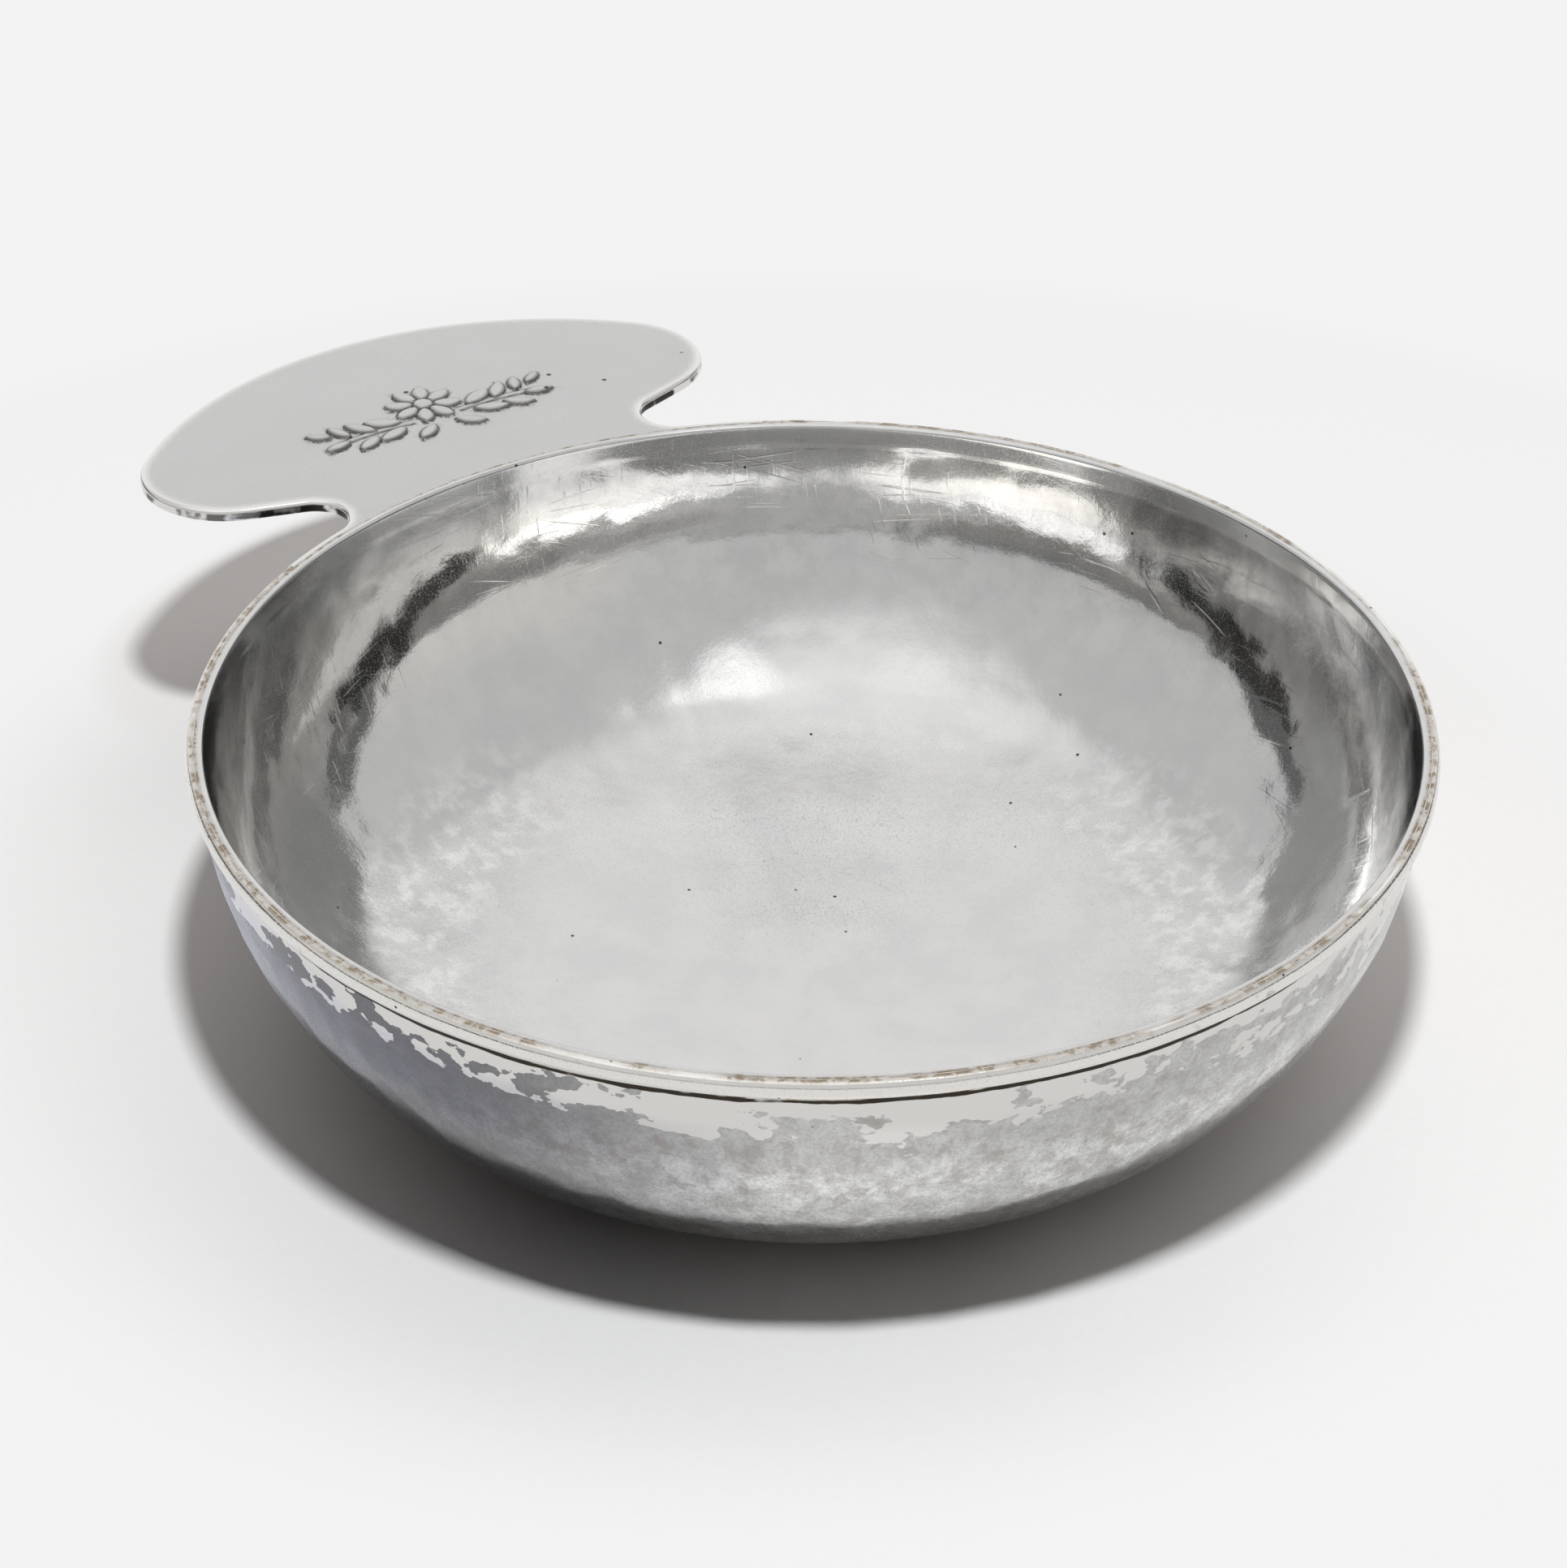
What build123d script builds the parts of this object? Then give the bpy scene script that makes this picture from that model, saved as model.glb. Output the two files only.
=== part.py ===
from build123d import *
import os
from math import atan2, cos, degrees, hypot, pi, radians, sin, sqrt

# Porringer: a raised bowl with a wire round its lip and one flat tab handle, all soldered together.
# Millimetres. The origin is the centre of the base, +Z is up and the handle points along +Y.

# Bowl
rim_diameter = 127.0       # over the outside of the rim
bowl_height = 35.0
base_diameter = 68.0       # flat disc that the bowl stands on
band_height = 3.0          # upright band under the lip, where the wire and the handle are seated
sheet = 0.9                # thickness of the raised sheet
lip_round = 0.4            # inner edge of the lip

# Rim wire
wire_width = 0.85          # how far the wire stands out from its solder
wire_height = 1.8
wire_belly = 1.05          # from the top of the wire down to where it is widest
wire_top_round = 0.6       # how far the roundings reach in from there
wire_under_round = 0.45

# Handle plate
handle_reach = 38.0        # from the outside of the rim to the far edge
handle_plate = 1.5
neck_width = 40.5          # narrowest place, between the two notches
notch_radius = 4.2
ear_lead = 6.3             # straight run from the notch to the ear
ear_sweep = 18.0           # degrees that this run leans away from the bowl
ear_radius = 10.8
wing_length = 9.4          # along the rim, from the notch to the end of the wing
handle_edge_round = 0.5

# Solder
solder_film = 0.1          # gap that the solder fills behind the wire and the handle, and at the wire's ends
solder_leg = 0.4           # concave run under the wire and the handle, measured outwards
solder_creep = 0.5         # the same run, measured down the wall

# A rounding takes at most this share of the thickness that it is cut into
round_limit = 0.9

# Radii that the pieces share, from the axis of the bowl
rim_radius = rim_diameter / 2
seat_radius = rim_radius - wire_width
lip_radius = seat_radius - solder_film
base_radius = base_diameter / 2
curve_height = bowl_height - band_height


def round_about(radius, direction):
    """Point at this distance and direction from the bowl's axis."""
    return Vector(radius * cos(direction), radius * sin(direction))


# Plan of the handle on the +X side: the notch circle touches the rim and the side of the neck
notch_x = neck_width / 2 + notch_radius
notch_y = sqrt((rim_radius + notch_radius) ** 2 - notch_x**2)
notch_centre = Vector(notch_x, notch_y)
notch_direction = atan2(notch_y, notch_x)
notch_on_rim = round_about(rim_radius, notch_direction)
notch_on_neck = Vector(neck_width / 2, notch_y)

# The ear follows the notch: a short straight run, then an arc
sweep = radians(ear_sweep)
lead_along = Vector(cos(sweep), sin(sweep))
lead_across = Vector(-sin(sweep), cos(sweep))
lead_start = notch_centre + lead_across * notch_radius
lead_end = lead_start + lead_along * ear_lead
ear_centre = lead_end + lead_across * ear_radius

# The far edge is one arc, centred on the handle's axis, that runs into the arcs of both ears
tip_y = rim_radius + handle_reach
ear_tip_y = tip_y - ear_radius
back_centre_y = (ear_tip_y**2 - ear_centre.X**2 - ear_centre.Y**2) / (2 * (ear_tip_y - ear_centre.Y))
back_centre = Vector(0, back_centre_y)
back_radius = tip_y - back_centre_y
back_direction = atan2(ear_centre.Y - back_centre_y, ear_centre.X)
back_end = back_centre + round_about(back_radius, back_direction)
back_middle = back_centre + round_about(back_radius, (back_direction + pi / 2) / 2)
ear_middle = ear_centre + round_about(ear_radius, (back_direction + sweep - pi / 2) / 2)

# Each wing ends at this direction, and the wire starts one film of solder further on
wing_direction = notch_direction - wing_length / rim_radius
wing_turn = 90 - degrees(wing_direction)
wire_turn = wing_turn + degrees(solder_film / rim_radius)
wing_end = round_about(rim_radius, wing_direction)
wing_middle = round_about(rim_radius, (notch_direction + wing_direction) / 2)
seat_end = round_about(seat_radius, wing_direction)
seat_middle = round_about(seat_radius, (wing_direction + pi / 2) / 2)


def upright_plane(turn):
    """Plane through the bowl's axis, turned anticlockwise from the handle's axis by turn degrees."""
    outwards = round_about(1, radians(90 + turn))
    return Plane(origin=(0, 0, 0), x_dir=outwards, z_dir=outwards.cross(Vector(0, 0, 1)))


def film_corners(underside):
    """Section of the solder film behind a piece whose underside is at this height, open at its run."""
    return (
        (seat_radius + solder_leg, underside),
        (seat_radius, underside),
        (seat_radius, bowl_height),
        (lip_radius, bowl_height),
        (lip_radius, underside - solder_creep),
        (seat_radius, underside - solder_creep),
    )


os.makedirs("parts", exist_ok=True)

# Bowl: the section of the sheet, turned round the axis
with BuildPart() as bowl:
    with BuildSketch(Plane.XZ) as bowl_section:
        with BuildLine():
            wall_centre = (base_radius, curve_height)
            wall_reach = lip_radius - base_radius
            Line((0, 0), (base_radius, 0))
            EllipticalCenterArc(wall_centre, wall_reach, curve_height, 270, arc_size=90)
            Polyline(
                (lip_radius, curve_height),
                (lip_radius, bowl_height),
                (lip_radius - sheet, bowl_height),
                (lip_radius - sheet, curve_height),
            )
            EllipticalCenterArc(wall_centre, wall_reach - sheet, curve_height - sheet, 270, arc_size=90)
            Polyline((base_radius, sheet), (0, sheet), (0, 0))
        make_face()
        inner_lip = bowl_section.vertices().group_by(Axis.Y)[-1].sort_by(Axis.X)[0]
        fillet(inner_lip, min(lip_round, round_limit * sheet))
    revolve(axis=Axis.Z)
bowl.part.label = "bowl"
export_step(bowl.part, "parts/bowl.step")

# Rim wire: a D section carried round the lip from one wing of the handle to the other
with BuildSketch() as wire_section:
    with BuildLine():
        wire_under = bowl_height - wire_height
        widest = bowl_height - min(wire_belly, round_limit * wire_height)
        top_start = rim_radius - min(wire_top_round, round_limit * wire_width)
        under_start = rim_radius - min(wire_under_round, round_limit * wire_width)
        EllipticalCenterArc(
            (under_start, widest), rim_radius - under_start, widest - wire_under, 270, arc_size=90
        )
        EllipticalCenterArc((top_start, widest), rim_radius - top_start, bowl_height - widest, 0, arc_size=90)
        Polyline(
            (top_start, bowl_height),
            (seat_radius, bowl_height),
            (seat_radius, wire_under),
            (under_start, wire_under),
        )
    make_face()
with BuildPart() as rim_wire:
    with BuildSketch(upright_plane(wire_turn)):
        add(wire_section.sketch)
    revolve(axis=Axis.Z, revolution_arc=360 - 2 * wire_turn)
rim_wire.part.label = "rim_wire"
export_step(rim_wire.part, "parts/rim_wire.step")

# Handle: a flat plate in one outline of arcs that run into each other, with its free edges rounded
with BuildPart() as handle:
    with BuildSketch(Plane.XY.offset(bowl_height - handle_plate)):
        with BuildLine():
            ThreePointArc((0, tip_y), back_middle, back_end)
            ThreePointArc(back_end, ear_middle, lead_end)
            Line(lead_end, lead_start)
            ThreePointArc(lead_start, notch_on_neck, notch_on_rim)
            ThreePointArc(notch_on_rim, wing_middle, wing_end)
            Line(wing_end, seat_end)
            ThreePointArc(seat_end, seat_middle, (0, seat_radius))
            mirror(about=Plane.YZ)
        make_face()
    extrude(amount=handle_plate)
    face_edges = handle.faces().filter_by(Axis.Z).edges()
    beyond_seat = (seat_radius + rim_radius) / 2
    free_edges = face_edges.filter_by(
        lambda edge: all(hypot(end.X, end.Y) > beyond_seat for end in edge.vertices())
    )
    fillet(free_edges, min(handle_edge_round, round_limit * wire_width, round_limit * handle_plate / 2))
handle.part.label = "handle"
export_step(handle.part, "parts/handle.step")

# Rim solder: a film behind the wire, a concave run under it and a wafer at each of its two ends
with BuildPart() as rim_solder:
    with BuildSketch(upright_plane(wing_turn)):
        with BuildLine():
            Polyline(*film_corners(wire_under))
            run_centre = (seat_radius + solder_leg, wire_under - solder_creep)
            EllipticalCenterArc(run_centre, solder_leg, solder_creep, 90, arc_size=90)
        make_face()
    revolve(axis=Axis.Z, revolution_arc=360 - 2 * wing_turn)
    with BuildSketch(upright_plane(wing_turn), upright_plane(-wire_turn)):
        add(wire_section.sketch)
    revolve(axis=Axis.Z, revolution_arc=wire_turn - wing_turn)
rim_solder.part.label = "rim_solder"
export_step(rim_solder.part, "parts/rim_solder.step")

# Handle solder: the same film and run behind and under the handle's root, from wing to wing
with BuildPart() as handle_solder:
    with BuildSketch(upright_plane(-wing_turn)):
        with BuildLine():
            plate_under = bowl_height - handle_plate
            Polyline(*film_corners(plate_under))
            run_centre = (seat_radius + solder_leg, plate_under - solder_creep)
            EllipticalCenterArc(run_centre, solder_leg, solder_creep, 90, arc_size=90)
        make_face()
    revolve(axis=Axis.Z, revolution_arc=2 * wing_turn)
handle_solder.part.label = "handle_solder"
export_step(handle_solder.part, "parts/handle_solder.step")

handle_width = 2 * (ear_centre.X + ear_radius)
print(f"handle {handle_width:.1f} wide, far edge radius {back_radius:.1f}, wings {wing_turn:.1f} degrees")
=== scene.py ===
# %% [markdown]
# # A hammered pewter porringer
# The real thing is a disc of pewter sheet that was raised over stakes into a bowl, with a wire
# soldered round its lip and one flat sawn plate for a handle. The CAD model carries the sizes. Here
# the same pieces get the marks of the hammer, the polish and the tarnish.

# %% Load the frame
import math

import bpy
import numpy as np
from mathutils import Matrix, Vector, kdtree
from mathutils.geometry import delaunay_2d_cdt


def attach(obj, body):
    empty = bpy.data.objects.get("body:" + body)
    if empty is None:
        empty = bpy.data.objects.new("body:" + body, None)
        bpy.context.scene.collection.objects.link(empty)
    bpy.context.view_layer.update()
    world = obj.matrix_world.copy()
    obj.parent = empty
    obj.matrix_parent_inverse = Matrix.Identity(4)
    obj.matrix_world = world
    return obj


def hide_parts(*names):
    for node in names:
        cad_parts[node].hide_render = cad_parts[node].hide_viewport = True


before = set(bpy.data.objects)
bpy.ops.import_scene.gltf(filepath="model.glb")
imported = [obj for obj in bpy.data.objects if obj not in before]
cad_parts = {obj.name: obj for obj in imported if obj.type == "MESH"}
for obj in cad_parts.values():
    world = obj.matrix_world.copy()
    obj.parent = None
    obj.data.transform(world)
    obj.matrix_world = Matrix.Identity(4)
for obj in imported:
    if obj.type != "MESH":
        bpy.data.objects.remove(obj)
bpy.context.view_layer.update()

print("CAD nodes:", sorted(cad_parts))

# %% [markdown]
# ## Sizes
# The CAD part is drawn in millimetres, with the centre of the base as its origin and the handle along
# +Y. The pieces that replace its solids have to sit where these sit, so its sizes are repeated here.
# The camera looks along BEHIND in plan, and RIGHT lies across its view.

# %% Sizes of the porringer
RIM_RADIUS = 63.5
SEAT_RADIUS = 62.65      # back of the wire and of the handle's root
LIP_RADIUS = 62.55       # outside of the sheet, one film of solder further in
BOWL_HEIGHT = 35.0
BASE_RADIUS = 34.0
CURVE_HEIGHT = 32.0      # the wall is curved up to here and upright above
SHEET = 0.9
LIP_ROUND = 0.4
WIRE_HEIGHT = 1.8
WIRE_BELLY = 1.05        # from the top of the wire down to where it is widest
WIRE_TOP_ROUND = 0.6
WIRE_UNDER_ROUND = 0.45
PLATE = 1.5
NECK_WIDTH = 40.5
NOTCH_RADIUS = 4.2
EAR_LEAD = 6.3           # straight run from the notch to the ear
EAR_SWEEP = math.radians(18.0)
EAR_RADIUS = 10.8
HANDLE_REACH = 38.0
WING_LENGTH = 9.4
EDGE_ROUND = 0.5
SOLDER_FILM = 0.1
QUARTER = math.pi / 2
BEHIND = (0.5700, 0.8217, 0.0)
RIGHT = (0.8217, -0.5700, 0.0)
print(f"rim {2 * RIM_RADIUS:.0f} mm across, {BOWL_HEIGHT:.0f} mm high")

# %% [markdown]
# ## Making a piece
# Each visible piece is a mesh of its own that rides on the part's one body. Numbers kept on its points,
# such as how worn a place is, tell the finish where wear goes, without a picture wrapped round it.

# %% Helpers for pieces
MM_PER_METRE = 1000.0
SHARP_ANGLE = math.radians(50)


def place_object(name, data):
    """An object in the scene that shows a mesh, a lamp or a camera."""
    placed = bpy.data.objects.new(name, data)
    bpy.context.scene.collection.objects.link(placed)
    return placed


def new_piece(name, points, faces, material):
    """A mesh piece from points in millimetres; it rides on the one body and is shaded smooth."""
    mesh = bpy.data.meshes.new(name)
    mesh.from_pydata((np.asarray(points) / MM_PER_METRE).tolist(), [], faces)
    mesh.validate()
    mesh.polygons.foreach_set("use_smooth", [True] * len(mesh.polygons))
    mesh.set_sharp_from_angle(angle=SHARP_ANGLE)
    mesh.materials.append(material)
    piece = place_object(name, mesh)
    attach(piece, "root")
    return piece


def store(piece, **marks):
    """Keep numbers on the points of a mesh, one list for each mark, for the finish to read."""
    for name, values in marks.items():
        layer = piece.data.attributes.new(name, "FLOAT", "POINT")
        layer.data.foreach_set("value", np.asarray(values, dtype=np.float32))


print("piece helpers ready")

# %% [markdown]
# ## Laying nodes
# A finish in Blender is a tree of nodes. It could be wired by hand in the shader editor, but a script
# can be read and repeated. One tree at a time lies on the bench, and each helper lays a node in it.

# %% Helpers for single nodes
bench = None


def take_up(tree):
    """Put a node tree on the bench."""
    global bench
    bench = tree
    return tree


def feed(value, socket):
    """Link another socket to this one or set its value; a colour of three numbers is made opaque."""
    if isinstance(value, bpy.types.NodeSocket):
        bench.links.new(value, socket)
    elif socket.type == "RGBA" and len(value) == 3:
        socket.default_value = (*value, 1.0)
    else:
        socket.default_value = value


def add_node(kind, **settings):
    """A node with its settings; those that start with in_ feed its inputs."""
    node = bench.nodes.new("ShaderNode" + kind)
    for key, value in settings.items():
        if key.startswith("in_"):
            feed(value, node.inputs[key[3:].replace("_", " ")])
        else:
            setattr(node, key, value)
    return node


print("bench ready")

# %% Helpers for common nodes
def sum_up(operation, *values, clamp=False):
    """A Math node whose inputs are sockets or numbers."""
    node = add_node("Math", operation=operation, use_clamp=clamp)
    for value, socket in zip(values, node.inputs):
        feed(value, socket)
    return node.outputs[0]


def remap(value, low, high, to_low=0.0, to_high=1.0):
    """A smooth step of a value from one range to another."""
    node = add_node("MapRange", interpolation_type="SMOOTHSTEP")
    for number, socket in zip((value, low, high, to_low, to_high), node.inputs):
        feed(number, socket)
    return node.outputs[0]


def mix_colour(mask, first, second):
    """The second colour over the first, through a mask."""
    node = add_node("Mix", data_type="RGBA", in_Factor=mask, in_A=first, in_B=second)
    return node.outputs["Result"]


def level_to(level, value, mask):
    """Bring a level to another value where a mask is 1."""
    node = add_node("Mix", data_type="FLOAT", in_Factor=mask, in_A=level, in_B=value)
    return node.outputs["Result"]


def on_piece(name):
    """A number that is kept on the points of the piece."""
    return add_node("Attribute", attribute_name=name).outputs["Fac"]


print("node helpers ready")

# %% [markdown]
# Noise is the cheapest way to break up an even surface. It is read in the object's own coordinates, in
# metres, so a scale of 100 gives patches of about a centimetre.

# %% Helpers for sums and noise
def chain(operation, values):
    """One Math node after another through all the values."""
    total = values[0]
    for value in values[1:]:
        total = sum_up(operation, total, value)
    return total


def plus(*terms):
    """Sum of sockets and numbers."""
    return chain("ADD", terms)


def times(*factors):
    """Product of sockets and numbers."""
    return chain("MULTIPLY", factors)


def minus(first, second):
    """Difference of two sockets or numbers."""
    return sum_up("SUBTRACT", first, second)


def object_place(scale=(1.0, 1.0, 1.0), turn=(0.0, 0.0, 0.0)):
    """The object's own coordinates, turned and scaled for a texture."""
    place = add_node("TexCoord").outputs["Object"]
    mapping = add_node("Mapping", in_Vector=place, in_Rotation=turn, in_Scale=scale)
    return mapping.outputs["Vector"]


def grain(scale, detail, rough=0.5, upright=1.0, where=None):
    """Noise about 0.5, finer upwards where upright is above 1."""
    if where is None:
        where = object_place((1.0, 1.0, upright))
    node = add_node("TexNoise", in_Vector=where, in_Scale=scale, in_Detail=detail)
    feed(rough, node.inputs["Roughness"])
    return node.outputs["Fac"]


def patches(scale, detail, low, high, rough=0.5):
    """Mask of patches: 0 where the noise is under low, 1 where it is over high."""
    return remap(grain(scale, detail, rough), low, high)


print("sums and noise ready")

# %% [markdown]
# ## Shared finish effects
# Old pewter is never one even mirror: it has scratches, black pits, brown tarnish and a clouded polish.
# Each effect is one node group, so that every finish can take its own share of it.

# %% Helper for effects
NUMBER, COLOUR = "NodeSocketFloat", "NodeSocketColor"


def effect_group(name, inputs, outputs):
    """A node group on the bench; gives it, the sockets it is given and the sockets it makes."""
    tree = take_up(bpy.data.node_groups.new(name, "ShaderNodeTree"))
    for socket, value in inputs.items():
        kind = COLOUR if isinstance(value, tuple) else NUMBER
        tree.interface.new_socket(socket, in_out="INPUT", socket_type=kind).default_value = value
    for socket, kind in outputs.items():
        tree.interface.new_socket(socket, in_out="OUTPUT", socket_type=kind)
    return tree, tree.nodes.new("NodeGroupInput").outputs, tree.nodes.new("NodeGroupOutput").inputs


print("effect helper ready")

# %% [markdown]
# Scratches are noise stretched into hairs. Some run straight, some run round the bowl as a cloth does.

# %% Hairline scratches
STRAIGHT_STRETCH = (2600.0, 38.0, 240.0)
STRAIGHT_TURNS = ((0.3, 0.2, 0.4), (-0.4, 0.1, 2.4))
ROUND_STRETCH = (50.0, 2400.0)
ROUND_LEANS = (0.05, -0.12, 0.3)
WALL_RADIUS = 0.06


def round_place(stretch, lean):
    """Coordinates that run round the Z axis and up it, with a lean, for a texture."""
    split = add_node("SeparateXYZ", in_Vector=object_place()).outputs
    way_round = times(sum_up("ARCTAN2", split["X"], split["Y"]), WALL_RADIUS)
    way_up = plus(split["Z"], times(way_round, lean))
    place = add_node("CombineXYZ")
    feed(times(way_round, stretch[0]), place.inputs["X"])
    feed(times(way_up, stretch[1]), place.inputs["Y"])
    return place.outputs["Vector"]


scratch_tree, given, made = effect_group(
    "hairline scratches", {"Amount": 0.5}, {"Mask": NUMBER, "Height": NUMBER}
)
places = [object_place(STRAIGHT_STRETCH, turn) for turn in STRAIGHT_TURNS]
places += [round_place(ROUND_STRETCH, lean) for lean in ROUND_LEANS]
hairs = [remap(grain(1.0, 1.0, where=place), 0.69, 0.76) for place in places]
worn_hairs = times(chain("MAXIMUM", hairs), patches(55.0, 2.0, 0.38, 0.62))
scratch_mask = sum_up("MULTIPLY", worn_hairs, given["Amount"], clamp=True)
feed(scratch_mask, made["Mask"])
feed(times(scratch_mask, -1.0), made["Height"])
print("scratches:", len(scratch_tree.nodes), "nodes")

# %% [markdown]
# A pit is a dot in the middle of a Voronoi cell. The cell's own colour decides whether it has one.

# %% Corrosion pits
PIT_CHANCE = 0.1
pit_tree, given, made = effect_group("corrosion pits", {"Amount": 0.5, "Scale": 420.0}, {"Mask": NUMBER})
cells = add_node("TexVoronoi", feature="F1", in_Vector=object_place(), in_Scale=given["Scale"])
drawn_lot = add_node("SeparateColor", in_Color=cells.outputs["Color"]).outputs["Red"]
has_pit = sum_up("LESS_THAN", drawn_lot, times(given["Amount"], PIT_CHANCE))
feed(times(remap(cells.outputs["Distance"], 0.18, 0.08), has_pit), made["Mask"])
print("pits:", len(pit_tree.nodes), "nodes")

# %% [markdown]
# Tarnish is a map of noise that is flooded up to a level. More tarnish is a lower level.

# %% Tarnish
CLEAN_LEVEL, LEVEL_PER_AMOUNT = 0.78, 0.5
TARNISH_EDGE = 6.0
tarnish_tree, given, made = effect_group(
    "tarnish",
    {"Amount": 0.5, "Scale": 160.0, "Metal": (0.8, 0.79, 0.77, 1.0), "Stain": (0.25, 0.19, 0.13, 1.0)},
    {"Color": COLOUR, "Mask": NUMBER},
)
tarnish_level = minus(CLEAN_LEVEL, times(given["Amount"], LEVEL_PER_AMOUNT))
over_level = minus(grain(given["Scale"], 6.0, 0.62), tarnish_level)
tarnish_mask = sum_up("MULTIPLY", over_level, TARNISH_EDGE, clamp=True)
feed(mix_colour(tarnish_mask, given["Metal"], given["Stain"]), made["Color"])
feed(tarnish_mask, made["Mask"])
print("tarnish:", len(tarnish_tree.nodes), "nodes")

# %% [markdown]
# The polish drifts between bright and dull, with a fine sprinkling of brush marks that are duller.

# %% Clouded polish
BRUSH_SCALE, BRUSH_EDGE = 5200.0, 14.0
polish_tree, given, made = effect_group(
    "clouded polish",
    {"Bright": 0.12, "Dull": 0.24, "Scale": 60.0, "Brush Marks": 0.4, "Brush Level": 0.55},
    {"Roughness": NUMBER},
)
clouded = level_to(given["Bright"], given["Dull"], patches(given["Scale"], 4.0, 0.36, 0.66, 0.6))
brush_marks = minus(grain(BRUSH_SCALE, 1.0), given["Brush Level"])
brush_mask = sum_up("MULTIPLY", brush_marks, BRUSH_EDGE, clamp=True)
feed(level_to(clouded, given["Brush Marks"], brush_mask), made["Roughness"])
print("polish:", len(polish_tree.nodes), "nodes")

# %% [markdown]
# ## Finishes
# All pieces are the same grey metal, so each finish is a metallic Principled shader with its own share
# of the effects. Colours are laid over each other through masks, like glazes.

# %% Helpers for finishes
PITS_COLOUR = (0.05, 0.045, 0.04)


def new_finish(name, **values):
    """A material whose tree is put on the bench; gives it and the inputs of its shader."""
    material = bpy.data.materials.new(name)
    material.use_nodes = True
    shader = take_up(material.node_tree).nodes["Principled BSDF"].inputs
    for key, value in values.items():
        feed(value, shader[key.replace("_", " ")])
    return material, shader


def use_group(group, **values):
    """Place an effect in the finish on the bench, with its own values; gives its outputs."""
    node = add_node("Group", node_tree=group)
    for key, value in values.items():
        feed(value, node.inputs[key.replace("_", " ")])
    return node.outputs


def layered(colour, layers):
    """Colours laid over a first one, each through its mask."""
    for mask, tone in layers:
        colour = mix_colour(mask, colour, tone)
    return colour


print("finish helpers ready")

# %% [markdown]
# ### Inside of the bowl
# The inside is clean metal with faint clouds, with light spots where the floor turns up. The left wall
# is lighter with painted light, and the right wall and its upper part are darker with painted shade;
# they stand in for brighter and darker reflections. Each place is kept on the mesh, and noise frays
# its edge.

# %% Colours inside the bowl
bowl_finish, shader = new_finish("hammered pewter sheet", Metallic=1.0)
stain = use_group(
    tarnish_tree, Amount=0.16, Scale=90.0, Metal=(0.62, 0.615, 0.605), Stain=(0.52, 0.49, 0.45)
)
clouds = remap(grain(240.0, 7.0, 0.68, 0.45), 0.36, 0.60, 0.60, 1.0)
mottle = patches(300.0, 6.0, 0.40, 0.62, 0.65)
spots = patches(400.0, 6.0, 0.43, 0.66, 0.62)
inside_colour = layered(stain["Color"], (
    (patches(130.0, 6.0, 0.36, 0.66, 0.6), (0.58, 0.58, 0.577)),
    (times(mottle, on_piece("worn")), (0.54, 0.54, 0.535)),
    # Painted light on the left wall; painted shade on the right wall and on its upper part.
    (times(clouds, on_piece("creamy")), (0.70, 0.685, 0.65)),
    (times(clouds, on_piece("dusky")), (0.34, 0.335, 0.33)),
    (times(clouds, on_piece("shaded")), (0.36, 0.36, 0.37)),
    (times(spots, on_piece("spotted")), (0.74, 0.74, 0.735)),
))
print("inside coloured")

# %% [markdown]
# ### Outside of the bowl
# Below the rim a bright band meets a duller grey zone, and the edge between them is as ragged as a
# coast: the height over the band's lower line plus waves of noise, cut off at zero. Both colours are
# painted reflection: the band stands in for bright paper further out that the wall mirrors, and the
# mottled grey for dimmer paper and shadow near the bowl. On the left the grey is darker and bluish,
# as painted shade.

# %% Colours outside the bowl
BRIGHT_BAND = (0.67, 0.66, 0.64)
COAST_WAVES = (  # noise scale, detail, roughness, upright stretch, and height in millimetres
    (80.0, 2.0, 0.5, 1.0, 6.0),
    (220.0, 4.0, 0.45, 1.9, 17.0),
    (430.0, 3.0, 0.5, 1.6, 9.0),
)
polish_line = on_piece("polish_line")
# Painted shade: the left side outside is darker and bluish, for the shadowed paper that it mirrors.
weathered = on_piece("weathered")
waves = [times(minus(grain(*noise), 0.5), height) for *noise, height in COAST_WAVES]
unpolished = remap(plus(*waves, polish_line), 0.12, -0.12)
grey_dust = (  # mask, colour on the bright side, colour on the left side with painted shade
    (patches(300.0, 7.0, 0.38, 0.62, 0.7), (0.60, 0.595, 0.59), (0.16, 0.16, 0.167)),
    (remap(polish_line, -8.0, -3.0, 0.0, 0.8), (0.52, 0.517, 0.51), (0.17, 0.17, 0.182)),
    (times(patches(520.0, 7.0, 0.40, 0.64, 0.75), 0.45), (0.33, 0.322, 0.312), (0.15, 0.15, 0.154)),
    (times(patches(2600.0, 3.0, 0.44, 0.66, 0.6), 0.32), (0.30, 0.285, 0.27), (0.12, 0.12, 0.122)),
    (times(patches(360.0, 4.0, 0.54, 0.64, 0.6), 0.5), (0.34, 0.305, 0.28), (0.20, 0.18, 0.172)),
)
grey_colour = layered(
    mix_colour(weathered, (0.82, 0.82, 0.815), (0.22, 0.22, 0.235)),
    [(mask, mix_colour(weathered, bright, dark)) for mask, bright, dark in grey_dust],
)
# Painted reflection: the bright band against the grey carries the edge between bright and shadowed paper
# in the mirror.
outside_colour = mix_colour(unpolished, BRIGHT_BAND, grey_colour)
print("outside coloured")

# %% [markdown]
# ### Seam and crevice
# Brown specks sit along the seam between lip and wire. The crevice under the wire is black with dirt
# and with painted shade, where the wire shades the wall. Noise breaks both up, because a cloth takes
# the dirt away in places.

# %% Dirt and painted shade along the rim
def seam_specks():
    """A faint line with dark specks, strong in some places and nearly gone in others."""
    specks = plus(times(patches(900.0, 5.0, 0.44, 0.60, 0.6), 0.60), 0.40)
    return times(specks, patches(75.0, 2.0, 0.30, 0.47))


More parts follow.
